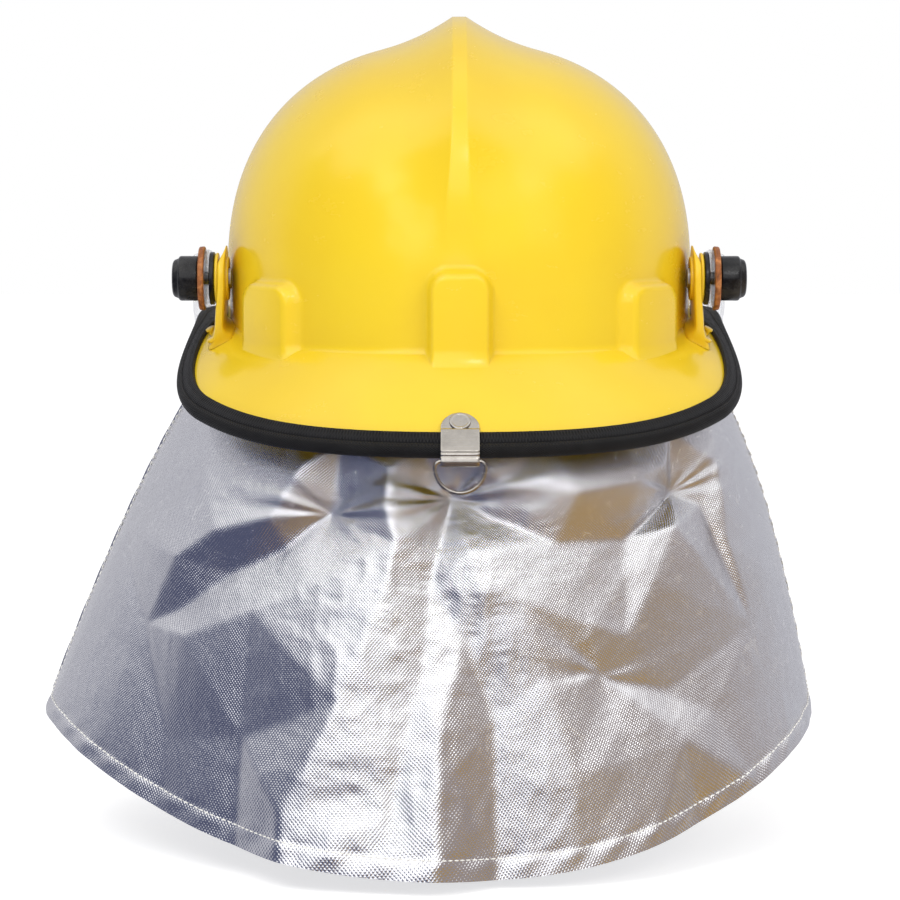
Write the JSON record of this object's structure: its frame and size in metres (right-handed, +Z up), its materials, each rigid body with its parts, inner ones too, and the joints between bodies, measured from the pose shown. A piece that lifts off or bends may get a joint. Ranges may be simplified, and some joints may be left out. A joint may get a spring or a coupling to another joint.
{
  "type": "fire helmet",
  "caption": "Ridged yellow fire helmet with a drooping rear brim, black edge trim, clear pivoting face shield, aluminised neck cape, hanging ring and adjustable suspension.",
  "frame": {"origin": "centre of the head opening, level with the foot of the dome at the back", "axes": "+Z up through the crown, +Y the way the wearer faces, +X to the wearer's right"},
  "size_m": [0.372, 0.366, 0.3889],
  "materials": {
    "shell": "gloss yellow moulded plastic",
    "trim": "matt black woven-textured rubber",
    "foam": "matt dark grey foam",
    "band": "matt black nylon",
    "pad": "brown leather",
    "webbing": "woven dark webbing",
    "aluminised": "aluminised woven cloth, mirror-like",
    "lining": "navy woven cloth",
    "tape": "black hook and loop tape",
    "steel": "polished stainless steel",
    "clear": "clear polycarbonate sheet",
    "bracket": "gloss yellow moulded plastic",
    "zinc": "zinc-plated steel",
    "black_plastic": "satin black plastic",
    "friction": "mottled brown fibre"
  },
  "bodies": {
    "helmet": {"shell": "shell", "edge_trim": "trim", "impact_liner": "foam", "headband": "band", "brow_pad": "pad", "nape_pad": "pad", "crown_strap_fore_aft": "webbing", "crown_strap_left_diagonal": "webbing", "crown_strap_right_diagonal": "webbing", "crown_pad": "pad", "suspension_clips": "band", "ratchet_housing": "band", "cape": "aluminised", "cape_lining": "lining", "cape_hook_tape": "tape", "cape_loop_tape": "tape", "hanger_plate": "steel", "hanger_rivet": "steel", "visor_bracket_left": "bracket", "visor_bracket_right": "bracket", "bracket_screws": "zinc", "pivot_bolt_left": "zinc", "pivot_bolt_right": "zinc", "spacer_left": "black_plastic", "spacer_right": "black_plastic", "friction_washer_left": "friction", "friction_washer_right": "friction", "chin_anchors": "zinc"},
    "visor": {"visor": "clear"},
    "knob_left": {"knob_left": "black_plastic"},
    "knob_right": {"knob_right": "black_plastic"},
    "hanging_ring": {"hanger_ring": "steel"},
    "ratchet_wheel": {"ratchet_knob": "black_plastic"},
    "chin_strap": {"chin_strap_long": "webbing", "chin_strap_short": "webbing", "buckle_socket": "black_plastic", "buckle_tongue": "black_plastic", "strap_slider": "black_plastic", "chin_pad": "pad"}
  },
  "joints": [
    {"name": "visor_lift", "type": "hinge", "parent": "helmet", "child": "visor", "pos_m": [0, -0.045, 0.032], "axis": [1, 0, 0], "range_deg": [0, 85]},
    {"name": "knob_left_turn", "type": "hinge", "parent": "helmet", "child": "knob_left", "pos_m": [0, -0.045, 0.032], "axis": [-1, 0, 0], "continuous": true},
    {"name": "knob_right_turn", "type": "hinge", "parent": "helmet", "child": "knob_right", "pos_m": [0, -0.045, 0.032], "axis": [1, 0, 0], "continuous": true},
    {"name": "ring_swing", "type": "hinge", "parent": "helmet", "child": "hanging_ring", "pos_m": [0, -0.1786, -0.0442], "axis": [1, 0, 0], "range_deg": [-140, 30]},
    {"name": "ratchet_turn", "type": "hinge", "parent": "helmet", "child": "ratchet_wheel", "pos_m": [0, -0.106, -0.019], "axis": [0, -1, 0], "continuous": true},
    {"name": "chin_strap_swing", "type": "hinge", "parent": "helmet", "child": "chin_strap", "pos_m": [0, 0.008, 0.004], "axis": [1, 0, 0], "range_deg": [-35, 35]}
  ]
}
